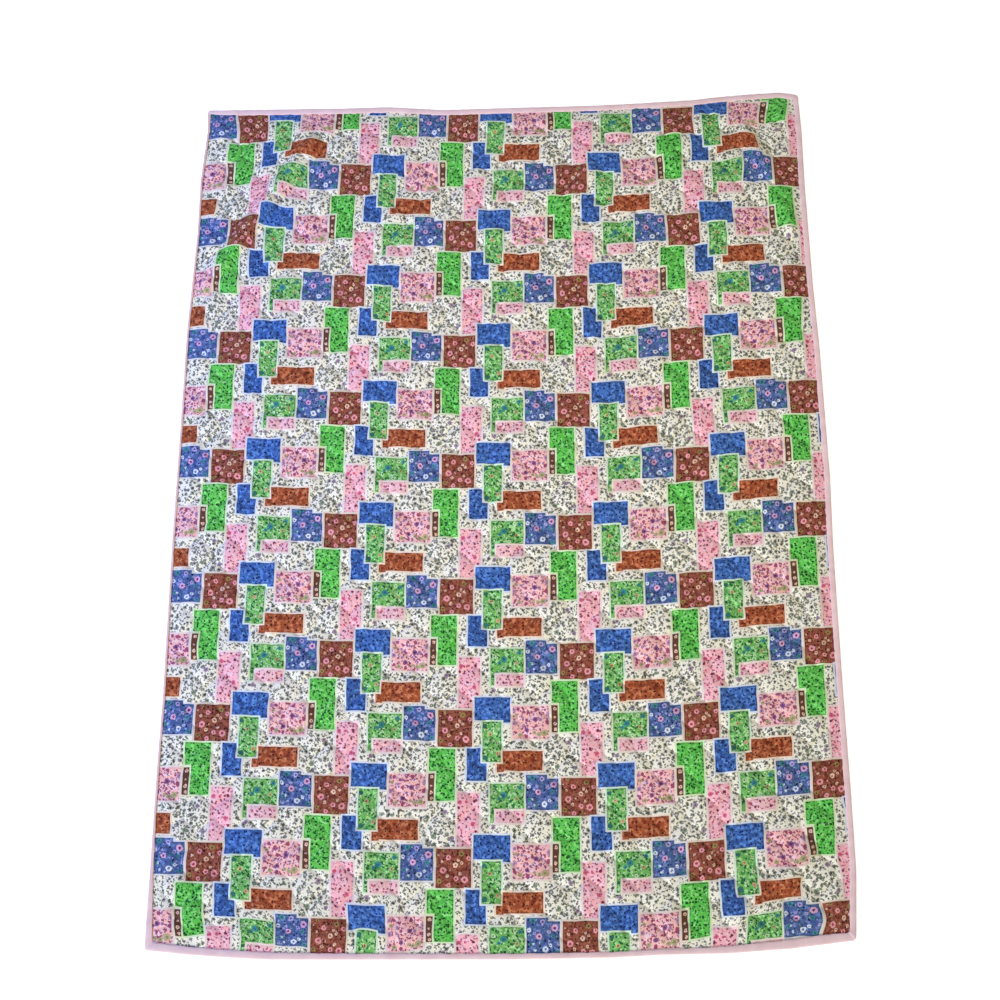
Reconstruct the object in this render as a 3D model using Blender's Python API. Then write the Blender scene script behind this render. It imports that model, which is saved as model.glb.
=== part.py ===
"""Patchwork quilt laid out flat: a wadded body quilted in an ogee pattern, and its folded edge binding.

Metres, +Z up. The origin is under the middle of the quilt, on the surface that it lies on.
+X runs along a short side and +Y along a long side.
"""

import bpy
import numpy as np
from mathutils import Vector
from mathutils.geometry import delaunay_2d_cdt

# Cut size of the quilt: 44 by 60 inches.
WIDTH = 1.120
LENGTH = 1.524

# How far each side stands out from that rectangle, as (part of the side, metres outwards).
# The left and right sides run from the top down, the top and bottom from left to right.
LEFT_OUT = ((0.0, -0.001), (0.03, -0.003), (0.1, 0.003), (0.17, 0.0), (0.3, 0.008), (0.55, 0.008),
            (0.66, 0.0035), (0.8, 0.003), (0.93, 0.0007), (1.0, -0.0012))
RIGHT_OUT = ((0.0, 0.0), (0.05, 0.0025), (0.12, 0.0005), (0.2, 0.0015), (0.32, 0.008), (0.5, 0.009),
             (0.62, 0.006), (0.8, 0.008), (0.93, 0.006), (1.0, -0.003))
TOP_OUT = ((0.0, -0.008), (0.05, -0.0054), (0.24, -0.006), (0.31, -0.005), (0.4, -0.0135), (0.52, -0.0115),
           (0.72, -0.010), (0.78, -0.005), (0.85, 0.0017), (0.92, 0.0064), (0.97, 0.006), (1.0, -0.001))
BOTTOM_OUT = ((0.0, -0.0045), (0.065, 0.002), (0.18, 0.009), (0.3, 0.011), (0.52, 0.0113),
              (0.68, 0.0095), (0.8, 0.006), (0.91, -0.0007), (0.96, -0.007), (1.0, -0.012))

# Width of the binding as seen from above, given the same way along each side.
LEFT_BIND = ((0.0, 0.008), (0.05, 0.005), (0.9, 0.005), (1.0, 0.013))
RIGHT_BIND = ((0.0, 0.011), (0.5, 0.010), (0.8, 0.014), (0.95, 0.019), (1.0, 0.018))
TOP_BIND = ((0.0, 0.008), (0.06, 0.0115), (1.0, 0.011))
BOTTOM_BIND = ((0.0, 0.013), (0.1, 0.009), (0.6, 0.009), (0.9, 0.013), (1.0, 0.018))

# Binding section: a folded strip of cotton from its sewn lip, over the edge and down to the surface.
# Each row is the share of the width, then metres back from the outer edge, then height.
BIND_CLOTH = 0.0012
BIND_LINE = ((0.0, 0.0, 0.0062), (0.4, 0.0, 0.0070), (1.0, 0.0024, 0.0060), (1.0, 0.0007, 0.0036),
             (1.0, 0.0014, 0.0))
FULL_SECTION = 0.006  # a narrower binding has its edge offsets scaled down
SEAT_GAP = 0.00035
INNER_CORNER = 0.003
CORNER_STEPS = 3
SHORT_STEPS = 43
LONG_STEPS = 58

# Ogee quilting: columns of stitched stems, half dropped, whose ends are joined by slanting lines.
OGEE_WIDE = 0.0522
OGEE_TALL = 0.0784
STEM_LONG = 0.0140
OGEE_SHEAR = 0.043
FIRST_STEM = (-0.5405, 0.7492)
SEAM_HIGH = 0.0050
PUFF_HIGH = 0.0092
EDGE_CLEAR = 0.009
EDGE_SOFT = 0.030

# Soft folds of the laid cloth: start x, start y, end x, end y, half width, height.
FOLDS = (
    (-0.550, 0.372, -0.340, 0.725, 0.034, 0.0075),
    (0.180, 0.730, 0.130, 0.530, 0.026, 0.0030),
    (0.325, 0.735, 0.315, 0.600, 0.030, 0.0030),
    (0.440, 0.740, 0.545, 0.462, 0.026, 0.0050),
    (0.280, 0.375, 0.460, 0.360, 0.026, 0.0025),
    (0.350, -0.730, 0.515, -0.605, 0.026, 0.0050),
)

PRINT_COLOUR = (0.62, 0.58, 0.55, 1.0)
BINDING_COLOUR = (0.80, 0.55, 0.60, 1.0)


def along(table, part):
    """Value of a (part, value) table at each part of a side, in straight runs."""
    rows = np.array(table)
    return np.interp(part, rows[:, 0], rows[:, 1])


def furthest(table):
    """The most that a side stands out."""
    return max(out for part, out in table)


def lay(flat):
    """Moves points of the cut rectangle to where the laid cloth has them.

    Each side's outward offset fades linearly to nothing at the opposite side. The sum is then
    moved so that the origin is in the middle of the whole outline.
    """
    across = flat[:, 0] / WIDTH + 0.5
    down = 0.5 - flat[:, 1] / LENGTH
    x = flat[:, 0] + across * along(RIGHT_OUT, down) - (1 - across) * along(LEFT_OUT, down)
    y = flat[:, 1] + (1 - down) * along(TOP_OUT, across) - down * along(BOTTOM_OUT, across)
    x += (furthest(LEFT_OUT) - furthest(RIGHT_OUT)) / 2
    y += (furthest(BOTTOM_OUT) - furthest(TOP_OUT)) / 2
    return np.stack([x, y], axis=1)


def fold_height(points):
    """Sum of the soft folds: each is a cosine hump across its line, which fades at both ends."""
    height = np.zeros(len(points))
    for x0, y0, x1, y1, half, tall in FOLDS:
        run = np.array([x1 - x0, y1 - y0])
        length = np.hypot(*run)
        run /= length
        offset = points - np.array([x0, y0])
        forward = offset @ run / length
        aside = np.abs(offset[:, 0] * run[1] - offset[:, 1] * run[0]) / half
        hump = 0.5 + 0.5 * np.cos(np.pi * np.clip(aside, 0, 1))
        fade = np.clip(np.minimum(forward, 1 - forward) / 0.2, 0, 1)
        height += tall * hump * fade * fade * (3 - 2 * fade)
    return height


def edge_stations():
    """Points round the cut edge, clockwise from above, with their outward normals and binding widths."""
    sides = (
        ((-1, 1), (1, 0), (0, 1), SHORT_STEPS, TOP_BIND, False),
        ((1, 1), (0, -1), (1, 0), LONG_STEPS, RIGHT_BIND, False),
        ((1, -1), (-1, 0), (0, -1), SHORT_STEPS, BOTTOM_BIND, True),
        ((-1, -1), (0, 1), (-1, 0), LONG_STEPS, LEFT_BIND, True),
    )
    half = np.array([WIDTH / 2, LENGTH / 2])
    points, normals, widths = [], [], []
    for corner, forward, outward, steps, table, backwards in sides:
        corner, forward, outward = (np.array(v, dtype=float) for v in (corner, forward, outward))
        length = abs(forward @ (2 * half))
        here, there = (along(table, 1.0), along(table, 0.0)) if backwards else \
            (along(table, 0.0), along(table, 1.0))
        start, end = here + INNER_CORNER, length - there - INNER_CORNER
        for step in range(steps + 1):
            reach = start + (end - start) * step / steps
            part = reach / length
            points.append(corner * half + forward * reach)
            normals.append(outward)
            widths.append(along(table, 1 - part if backwards else part))
        radius = there + INNER_CORNER
        centre = corner * half + forward * (length - radius) - outward * radius
        for step in range(1, CORNER_STEPS):
            angle = np.pi / 2 * step / CORNER_STEPS
            normal = outward * np.cos(angle) + forward * np.sin(angle)
            points.append(centre + normal * radius)
            normals.append(normal)
            widths.append(there)
    return np.array(points), np.array(normals), np.array(widths)


def section(width, offset):
    """Binding section of one width, moved off its middle line: distance out from the lip, and height."""
    scale = min(1.0, width / FULL_SECTION)
    line = np.array([(share * width - back * scale, high) for share, back, high in BIND_LINE])
    slope = np.gradient(line, axis=0)
    slope[-1] = (0, -1)
    slope /= np.linalg.norm(slope, axis=1)[:, None]
    moved = line + offset * np.stack([-slope[:, 1], slope[:, 0]], axis=1)
    moved[0, 0] = 0.0
    moved[-1, 1] = 0.0
    return moved


def edge_ring(stations, offset):
    """Rows of points round the whole edge, one row for each point of the section."""
    points, normals, widths = stations
    profile = np.array([section(width, offset) for width in widths])
    inner = points - normals * widths[:, None]
    rows = []
    for k in range(len(BIND_LINE)):
        flat = lay(inner + normals * profile[:, k, 0:1])
        rows.append(np.column_stack([flat, profile[:, k, 1]]))
    return rows


def quilting_points(inner):
    """Stem ends and puff tops of the ogee pattern inside the edge, with True for a puff top."""
    places, puffs = [], []
    columns = int(WIDTH / OGEE_WIDE) * 2 + 6
    rows = int(LENGTH / OGEE_TALL) + 4
    for column in range(-2, columns):
        x = FIRST_STEM[0] + column * OGEE_WIDE / 2
        drop = (column % 2) * OGEE_TALL / 2
        for row in range(-2, rows):
            y = FIRST_STEM[1] + column * OGEE_WIDE / 2 * OGEE_SHEAR - row * OGEE_TALL - drop
            places += [(x, y + STEM_LONG / 2), (x, y - STEM_LONG / 2), (x, y - OGEE_TALL / 2)]
            puffs += [False, False, True]
    places, puffs = np.array(places), np.array(puffs)
    room = edge_room(places, inner)
    keep = room > EDGE_CLEAR
    return places[keep], puffs[keep], room[keep]


def edge_room(places, inner):
    """Distance inwards from each place to the nearest side of the closed line, below 0 outside it."""
    ahead = np.roll(inner, -1, axis=0) - inner
    length = np.linalg.norm(ahead, axis=1)
    offset = places[:, None, :] - inner[None, :, :]
    t = np.clip((offset * ahead).sum(axis=2) / length**2, 0, 1)
    gap = np.linalg.norm(offset - t[:, :, None] * ahead, axis=2)
    side = (ahead[:, 1] * offset[:, :, 0] - ahead[:, 0] * offset[:, :, 1]) / length
    nearest = gap.argmin(axis=1)
    rows = np.arange(len(places))
    return gap[rows, nearest] * np.where(side[rows, nearest] > 0, 1, -1)


def add_object(name, points, faces, colour, roughness):
    """Makes one object with its own material from points and faces."""
    mesh = bpy.data.meshes.new(name)
    mesh.from_pydata([tuple(map(float, p)) for p in points], [], faces)
    mesh.validate()
    material = bpy.data.materials.new(name)
    material.use_nodes = True
    shader = material.node_tree.nodes["Principled BSDF"]
    shader.inputs["Base Color"].default_value = colour
    shader.inputs["Roughness"].default_value = roughness
    material.diffuse_color = colour
    mesh.materials.append(material)
    thing = bpy.data.objects.new(name, mesh)
    bpy.context.scene.collection.objects.link(thing)
    return thing


def ring_faces(rows, count, closed):
    """Quads between rows of points round the edge, each row starting at row * count."""
    faces = []
    pairs = [(k, (k + 1) % rows) for k in range(rows if closed else rows - 1)]
    for upper, lower in pairs:
        for i in range(count):
            j = (i + 1) % count
            faces.append((upper * count + i, upper * count + j, lower * count + j, lower * count + i))
    return faces


def build_binding(stations):
    """The folded strip: its outer side and its inner side, joined at the lip and at the foot."""
    outer = edge_ring(stations, BIND_CLOTH / 2)
    inner = edge_ring(stations, -BIND_CLOTH / 2)
    rows = outer + inner[::-1]
    count = len(rows[0])
    return add_object("edge_binding", np.vstack(rows), ring_faces(len(rows), count, True), BINDING_COLOUR, 0.9)


def build_body(stations):
    """The wadded body: quilted top, rounded rim under the binding, and a flat underside."""
    rim = edge_ring(stations, -BIND_CLOTH / 2 - SEAT_GAP)
    count = len(rim[0])
    points, normals, widths = stations
    inner = points - normals * widths[:, None]
    places, puffs, room = quilting_points(inner)
    border = [(i, (i + 1) % count) for i in range(count)]
    flat = [Vector(p) for p in np.vstack([inner, places])]
    result = delaunay_2d_cdt(flat, border, [], 1, 1e-6)
    triangles, sources = result[2], result[3]
    order = [source[0] for source in sources]
    top = [tuple(order[v] for v in face) for face in triangles]
    ground = lay(places)
    rise = np.clip(room / EDGE_SOFT, 0, 1)
    height = SEAM_HIGH + np.where(puffs, (PUFF_HIGH - SEAM_HIGH) * rise, 0)
    quilted = np.column_stack([ground, height + fold_height(ground) * rise])
    lower = np.vstack(rim[1:])
    vertices = np.vstack([rim[0], quilted, lower])
    first = count + len(quilted)

    def at(row, i):
        return i % count if row == 0 else first + (row - 1) * count + i % count

    faces = []
    for face in top:
        a, b, c = (vertices[v] for v in face)
        upward = (b[0] - a[0]) * (c[1] - a[1]) - (b[1] - a[1]) * (c[0] - a[0])
        faces.append(face if upward > 0 else face[::-1])
    for row in range(len(rim) - 1):
        for i in range(count):
            faces.append((at(row, i), at(row, i + 1), at(row + 1, i + 1), at(row + 1, i)))
    last = len(rim) - 1
    faces.append(tuple(at(last, i) for i in range(count)))
    return add_object("quilt_body", vertices, faces, PRINT_COLOUR, 0.9)


def main():
    for thing in list(bpy.data.objects):
        bpy.data.objects.remove(thing)
    stations = edge_stations()
    build_body(stations)
    build_binding(stations)


main()
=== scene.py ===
"""Patchwork quilt laid flat: its wadded and quilted printed top, and its folded pink binding.

Metres, +Z up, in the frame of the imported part: the origin is under the middle of the quilt, +X runs
along a short side and +Y along a long side. Places in the print are in millimetres.
"""

import math

import bmesh
import bpy
import numpy as np
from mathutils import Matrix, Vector


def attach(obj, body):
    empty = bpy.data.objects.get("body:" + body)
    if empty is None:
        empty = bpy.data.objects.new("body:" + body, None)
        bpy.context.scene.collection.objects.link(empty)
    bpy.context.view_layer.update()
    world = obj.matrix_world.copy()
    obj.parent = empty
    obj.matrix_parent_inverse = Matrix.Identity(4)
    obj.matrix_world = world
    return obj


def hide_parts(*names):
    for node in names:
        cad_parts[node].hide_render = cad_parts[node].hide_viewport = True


SEED = 1862
MM = 1000  # millimetres in a metre
WELD = 0.00002  # points nearer than this are one point

# The cut quilt, and how its laid sides stand out from it: (part of the side, metres outwards).
# The left and right sides run from the top down, the top and bottom from left to right.
WIDTH = 1.120
LENGTH = 1.524
HALF = np.array([WIDTH / 2, LENGTH / 2])
LEFT_OUT = ((0.0, -0.001), (0.03, -0.004), (0.1, 0.0024), (0.17, 0.001), (0.3, 0.0068), (0.42, 0.0056),
            (0.55, 0.0050), (0.66, 0.0030), (0.74, 0.0012), (0.8, 0.002), (0.93, 0.0013), (1.0, 0.001))
RIGHT_OUT = ((0.0, 0.0), (0.05, 0.0025), (0.12, 0.0015), (0.2, 0.0027), (0.26, 0.0038), (0.34, 0.0078),
             (0.5, 0.0101), (0.58, 0.0072), (0.74, 0.0068), (0.85, 0.008), (0.93, 0.0078), (1.0, 0.0003))
TOP_OUT = ((0.0, -0.0045), (0.05, -0.0048), (0.24, -0.006), (0.31, -0.005), (0.4, -0.0135), (0.52, -0.0120),
           (0.66, -0.0105), (0.72, -0.0082), (0.82, -0.0032), (0.86, 0.0018), (0.92, 0.0070), (0.97, 0.0095),
           (1.0, 0.004))
BOTTOM_OUT = ((0.0, -0.004), (0.065, 0.0035), (0.12, 0.0080), (0.18, 0.0115), (0.3, 0.0125), (0.52, 0.0138),
              (0.66, 0.0120), (0.73, 0.0085), (0.82, 0.0070), (0.91, 0.0005), (0.96, -0.006), (1.0, -0.011))

# Width of the binding seen from above, given the same way along each side.
LEFT_BIND = ((0.0, 0.006), (0.04, 0.0038), (0.86, 0.0038), (0.93, 0.0065), (1.0, 0.013))
RIGHT_BIND = ((0.0, 0.0095), (0.1, 0.0105), (0.35, 0.0096), (0.9, 0.0098), (1.0, 0.0105))
TOP_BIND = ((0.0, 0.008), (0.06, 0.0115), (1.0, 0.011))
BOTTOM_BIND = ((0.0, 0.013), (0.1, 0.0115), (0.3, 0.009), (0.75, 0.0082), (0.9, 0.0135), (0.95, 0.0145),
               (1.0, 0.013))

# Binding section: share of the width, metres back from the outer edge, height of the cloth's middle.
BIND_CLOTH = 0.0011
BIND_LINE = ((0.0, 0.0, 0.0056), (0.12, 0.0, 0.0062), (0.5, 0.0, 0.0067), (0.86, 0.0002, 0.0066),
             (1.0, 0.0007, 0.0060), (1.0, 0.0002, 0.0046), (1.0, 0.0003, 0.0023), (1.0, 0.0010, 0.0))
FULL_SECTION = 0.006  # a narrower binding has its edge offsets scaled down
INNER_CORNER = 0.002  # radius of the turn at the binding's sewn lip
OUTER_CORNER = 0.006  # and at its outer edge
BODY_CORNER = 0.009  # radius of the body's own corner, under the binding
BIND_STATION = 0.006  # metres between cross-sections
CORNER_STEPS = 8

# Gathers of the binding: sine waves, each of which goes round the quilt this many times or so.
GATHER_WAVES = 30
GATHER_TURNS = (60, 420)  # from, to
GATHER_HIGH = 0.0005
GATHER_FROM = 0.002  # height over the surface at which the gathers start,
GATHER_FULL = 0.005  # and at which they are full
LIP_TURNS = (90, 500)
LIP_WANDER = 0.0005  # how far the sewn lip wanders in and out

# Ogee quilting: columns of stitched stems, half dropped, whose ends are joined by slanting lines.
OGEE_WIDE = 0.0522
OGEE_TALL = 0.0784
STEM_LONG = 0.0140
OGEE_SHEAR = 0.043
FIRST_STEM = (-0.5405, 0.7492)
SEAM_HIGH = 0.0050
PUFF_HIGH = 0.0046  # a full puff above its seams
PUFF_SHARP = 0.0050  # how soon the wadding fills out beside a seam
PUFF_UNEVEN = 0.16
PUFF_KINDS = 128  # columns and rows of puffs before their fullness repeats
LIP_SOFT = 0.004  # metres from the sewn lip in which the seams come up to their height,
EDGE_SOFT = 0.024  # and in which the puffs do
RIPPLE_HIGH = 0.0007
RIPPLE_LOWEST = -0.0006
RIPPLE_LONG = (0.035, 0.140)
RIPPLE_WAVES = 24

# Grid of the top: its columns between two stem columns, its rows between two seams, and its rim.
ACROSS_SHARES = (0.0, 0.095, 0.24, 0.42, 0.58, 0.76, 0.905)
DOWN_SHARES = (0.0, 0.05, 0.155, 0.33, 0.5, 0.67, 0.845, 0.95)
COLUMN_ROOM = 0.0008  # least room between the last column and the side
RIM_ROOM = 0.0032  # points nearer than this to the cut edge are on the rim
# The rim goes down under the binding: metres in from the cut edge, and height.
RIM = ((0.0030, 0.0045), (0.0022, 0.0030), (0.0024, 0.0015), (0.0028, 0.0))

# Soft folds of the laid cloth: start x, start y, end x, end y, half width, height.
FOLD_FADE = 0.2  # part of a fold's length over which it fades at each end
FOLDS = (
    (-0.550, 0.372, -0.340, 0.725, 0.034, 0.0075),
    (0.180, 0.730, 0.130, 0.530, 0.026, 0.0030),
    (0.325, 0.735, 0.315, 0.600, 0.030, 0.0030),
    (0.440, 0.740, 0.545, 0.462, 0.026, 0.0050),
    (0.280, 0.375, 0.460, 0.360, 0.026, 0.0025),
    (0.350, -0.730, 0.515, -0.605, 0.026, 0.0050),
)

# The print repeats every STEP_ACROSS mm, each column lower by STEP_SLIP, and every STEP_DOWN mm down.
STEP_ACROSS = 202.5
STEP_SLIP = 112.1
STEP_DOWN = 224.2
PRINT_START = (0.125, -0.081)  # a brown patch, in metres from the middle of the cut cloth
PRINT_LONG = 1.0026
# How far the printed rows sag from a true row, in mm down the cloth: along the top, middle and bottom.
SAG_TOP = ((0.0, -15.2), (0.1, -19.5), (0.21, -16.9), (0.36, -10.9), (0.5, -6.6), (0.57, -6.7),
           (0.71, -9.6), (0.86, -15.4), (0.93, -15.5), (1.0, -14.0))
SAG_MIDDLE = ((0.0, -16.6), (0.07, -14.9), (0.21, -8.8), (0.36, -1.9), (0.44, 0.8), (0.5, 2.0), (0.57, 2.4),
              (0.64, 1.6), (0.71, -0.4), (0.79, -5.6), (0.93, -14.7), (1.0, -18.2))
SAG_BOTTOM = ((0.0, -20.5), (0.07, -18.4), (0.21, -12.2), (0.36, -6.4), (0.5, -3.7), (0.57, -3.4),
              (0.64, -4.5), (0.71, -6.8), (0.79, -13.2), (0.86, -19.2), (0.93, -26.0), (1.0, -33.8))
# How far it is carried to the right, in mm: along the top and along the bottom.
SWAY_TOP = ((0.0, -0.8), (0.2, 0.4), (0.35, -0.6), (0.6, -0.1), (0.72, 0.7), (0.9, 3.8), (1.0, 4.9))
SWAY_BOTTOM = ((0.0, 4.9), (0.2, 4.3), (0.35, 1.9), (0.6, 0.2), (0.72, -0.2), (0.9, 1.0), (1.0, 1.2))
# Places where the cloth was pulled: start x, y, end x, y, half width, then mm right and mm down.
# In mm from the cut cloth's top left corner, in order down the cloth.
PULL_LONG = 0.001  # a pull at one place has this length
PULLS = (
    (0, 0, 260, 0, 400, 7, 0), (700, 25, 745, 25, 40, 0, -2), (1040, 30, 1040, 50, 60, -8, 4),
    (930, 40, 1040, 60, 50, -3, 1), (1098, 40, 1098, 45, 32, -1.5, -3), (560, 50, 662, 50, 70, 2.5, 0),
    (85, 60, 85, 210, 60, 9, 3), (210, 60, 10, 400, 45, -1, -8), (1010, 60, 1010, 130, 45, 0, -8),
    (1085, 60, 1085, 240, 55, -6, 0), (890, 80, 890, 100, 60, 0, -6), (200, 100, 60, 380, 45, -4, 0),
    (900, 105, 900, 115, 45, 3, 0), (30, 140, 36, 208, 34, 4.5, 0), (100, 165, 97, 215, 30, -5.5, 0),
    (560, 165, 866, 165, 60, 2, 1.5), (735, 165, 735, 175, 42, 0, -5), (152, 169, 152, 180, 50, -2, -3),
    (400, 175, 470, 175, 60, 1.5, 5.5), (1010, 175, 1010, 185, 40, -3, 0), (1100, 200, 1105, 400, 60, 4, 0),
    (55, 258, 50, 285, 35, 5, 0), (1090, 265, 1090, 275, 45, 0, -6), (50, 290, 356, 290, 60, 0, 2),
    (690, 290, 764, 290, 60, 0, 3), (866, 290, 968, 290, 60, 2, 0), (356, 410, 560, 526, 60, 0, 2),
    (740, 480, 740, 680, 75, 0, 4), (662, 520, 662, 535, 60, 0, 3), (860, 700, 1060, 700, 90, 2, 0),
    (1000, 745, 1000, 755, 50, 2, 0), (1114, 1325, 1114, 1330, 40, 3, 0),
    (1104, 1379, 1104, 1380, 28, -1.5, 3), (1062, 1390, 1062, 1392, 32, 0, -5),
    (170, 1440, 225, 1440, 45, 0, 3), (985, 1440, 1015, 1440, 45, 0, -2.5),
    (1100, 1440, 1100, 1460, 60, 6, 0), (1075, 1485, 1078, 1490, 32, 6, 0), (920, 1490, 1060, 1380, 45, 4, 5),
    (347, 1495, 347, 1495, 30, 0, -4), (49, 1500, 49, 1500, 40, 0, -4), (905, 1500, 1025, 1500, 55, -1, -4.5),
    (50, 1510, 170, 1510, 50, 5, 0), (130, 1510, 380, 1500, 75, 4, 0), (112, 1512, 160, 1512, 60, 0, -11),
    (445, 1530, 515, 1525, 45, 0, -7), (215, 1540, 240, 1540, 55, 0, -11),
)

# Studio. The floor: half the width of each square ring, and its height.
FLOOR_RINGS = ((30, -0.0003), (33, 0.4), (36, 1.8), (38, 4), (39, 7))
PAPER_GLOW = 0.6
PAPER_GRAIN = 60.0  # waves in a metre
ROOM_LIGHT = 0.20
# Square lights: name, place, aim, side, watts and colour.
LIGHTS = (
    ("key", (-3.3, -8.2, 4.1), (0, 0, 0), 3.3, 690, "#fffffa"),
    ("warm", (0, 0.1, 1.5), (0, 0.1, 0), 1.2, 11.1, "#ffe5a4"),
    ("cool", (-1.6, 0.2, 1.2), (-0.2, 0, 0), 1, 22, "#3084ff"),
)
CAMERA_PLACE = (0.1318, -0.6865, 2.2296)
CAMERA_TURN = (16.606, 1.386, -0.427)
CAMERA_LENS = 48.42
CAMERA_SHIFT = -0.0489


def along(table, part):
    """Value of a (part, value) table at each part of a side, in straight runs."""
    rows = np.array(table)
    return np.interp(part, rows[:, 0], rows[:, 1])


def furthest(table):
    """The most that a side stands out."""
    return max(out for part, out in table)


MIDDLE_SHIFT = np.array([(furthest(LEFT_OUT) - furthest(RIGHT_OUT)) / 2,
                         (furthest(BOTTOM_OUT) - furthest(TOP_OUT)) / 2])


def shares(flat):
    """Parts of the way across and down the cut cloth, from its top left corner."""
    return flat[:, 0] / WIDTH + 0.5, 0.5 - flat[:, 1] / LENGTH


def lay(flat):
    """Moves points of the cut rectangle to where the laid cloth has them.

    Each side's outward offset fades linearly to nothing at the opposite side. The whole is then
    moved so that the origin is in its middle.
    """
    across, down = shares(flat)
    x = flat[:, 0] + across * along(RIGHT_OUT, down) - (1 - across) * along(LEFT_OUT, down)
    y = flat[:, 1] + (1 - down) * along(TOP_OUT, across) - down * along(BOTTOM_OUT, across)
    return np.stack([x, y], axis=1) + MIDDLE_SHIFT


def smooth(t):
    """Smooth step from 0 to 1: 3t^2 - 2t^3, held at its ends."""
    t = np.clip(t, 0, 1)
    return t * t * (3 - 2 * t)


def band(points, start, end, half):
    """1 on the line from start to end, down to 0 at the half width, as a cosine hump with round ends."""
    run = np.subtract(end, start)
    reach = np.clip((points - start) @ run / (run @ run), 0, 1)
    gap = np.linalg.norm(points - start - reach[:, None] * run, axis=1)
    return 0.5 + 0.5 * np.cos(np.pi * np.clip(gap / half, 0, 1))


def fold_height(points):
    """Sum of the soft folds: each is a cosine hump across its line, which fades at both ends."""
    height = np.zeros(len(points))
    for x0, y0, x1, y1, half, tall in FOLDS:
        run = np.array([x1 - x0, y1 - y0])
        length = np.hypot(*run)
        run /= length
        offset = points - np.array([x0, y0])
        forward = offset @ run / length
        aside = np.abs(offset[:, 0] * run[1] - offset[:, 1] * run[0]) / half
        hump = 0.5 + 0.5 * np.cos(np.pi * np.clip(aside, 0, 1))
        height += tall * hump * smooth(np.minimum(forward, 1 - forward) / FOLD_FADE)
    return height


def ripples(points, shortest, longest, waves, seed):
    """Seeded unevenness from about -1 to 1: a sum of sine waves of mixed lengths and directions."""
    random = np.random.default_rng(seed)
    total = np.zeros(len(points))
    for _ in range(waves):
        turn = random.uniform(0, math.pi)
        length = random.uniform(shortest, longest)
        ahead = points[:, 0] * math.cos(turn) + points[:, 1] * math.sin(turn)
        total += np.sin(2 * np.pi * ahead / length + random.uniform(0, 2 * math.pi))
    return total / math.sqrt(waves)


def edge_room(flat):
    """Distance in from the binding's sewn lip, below 0 under the binding."""
    across, down = shares(flat)
    rooms = (
        HALF[0] + flat[:, 0] - along(LEFT_BIND, down),
        HALF[0] - flat[:, 0] - along(RIGHT_BIND, down),
        HALF[1] - flat[:, 1] - along(TOP_BIND, across),
        HALF[1] + flat[:, 1] - along(BOTTOM_BIND, across),
    )
    return np.min(rooms, axis=0)


# ---- the quilted body

def slant_share(side):
    """How much of its rise a slanting seam has made at each share of the way between two stems.

    The way is half even and half a smooth step of the rise, which gives the ogee its S curve.
    """
    rise = np.linspace(0, 1, 101)
    return np.interp(side, (rise + smooth(rise)) / 2, rise)


def column_share(x):
    """0 on the stem columns that start a row, 1 on the half-dropped ones, in straight runs between."""
    return 1 - np.abs(1 - np.mod((x - FIRST_STEM[0]) / (OGEE_WIDE / 2), 2))


def seam_reach(x):
    """Half the height of the cells that lie between the stems' rows, at each x."""
    return STEM_LONG / 2 + (OGEE_TALL / 2 - STEM_LONG) * slant_share(column_share(x))


def seam_line(x, index):
    """y of the seam with that number, counted down the quilt: two zigzag lines for each row of stems."""
    middle = FIRST_STEM[1] + OGEE_SHEAR * (x - FIRST_STEM[0]) - (index // 2) * OGEE_TALL
    return middle + np.where(index % 2 == 0, 1, -1) * seam_reach(x)


def seam_distances(flat):
    """Distance to the nearest slanting seam, distance to the nearest stem, and the puff's numbers."""
    x, y = flat[:, 0], flat[:, 1]
    row = (FIRST_STEM[1] + OGEE_SHEAR * (x - FIRST_STEM[0]) - y) / OGEE_TALL
    offset = np.abs(row - np.round(row)) * OGEE_TALL
    reach = seam_reach(x)
    step = OGEE_WIDE / 200
    steep = (seam_reach(x + step) - seam_reach(x - step)) / (2 * step)
    slanting = np.abs(offset - reach) / np.hypot(1, steep)
    inside = offset < reach
    side = column_share(x)
    stem = np.where(inside, side, 1 - side) * OGEE_WIDE / 2
    column = (x - FIRST_STEM[0]) / OGEE_WIDE
    puff_column = np.where(inside, np.floor(column) * 2 + 1, np.round(column) * 2)
    puff_row = np.where(inside, np.round(row) * 2, np.floor(row) * 2 + 1)
    return slanting, stem, puff_column.astype(int), puff_row.astype(int)


def puff_height(flat):
    """Wadding between the seams: 1 - e^(-distance / sharpness) from the slanting seams, times the
    same from the stems, with each puff a little fuller or flatter than the next."""
    slanting, stem, column, row = seam_distances(flat)
    full = (1 - np.exp(-slanting / PUFF_SHARP)) * (1 - np.exp(-stem / PUFF_SHARP))
    drawn = np.random.default_rng(SEED).uniform(-1, 1, (PUFF_KINDS, PUFF_KINDS))
    return PUFF_HIGH * full * (1 + PUFF_UNEVEN * drawn)[column % PUFF_KINDS, row % PUFF_KINDS]


def top_height(flat):
    """Height of the quilted top over the cut cloth: seams, puffs, folds and small ripples."""
    room = edge_room(flat)
    rise = smooth(room / EDGE_SOFT)
    laid = lay(flat)
    lip = RIM[0][1] + (SEAM_HIGH - RIM[0][1]) * smooth(room / LIP_SOFT)
    uneven = RIPPLE_HIGH * ripples(flat, *RIPPLE_LONG, RIPPLE_WAVES, SEED + 1)
    return lip + (puff_height(flat) + fold_height(laid) + np.maximum(uneven, RIPPLE_LOWEST)) * rise


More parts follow.
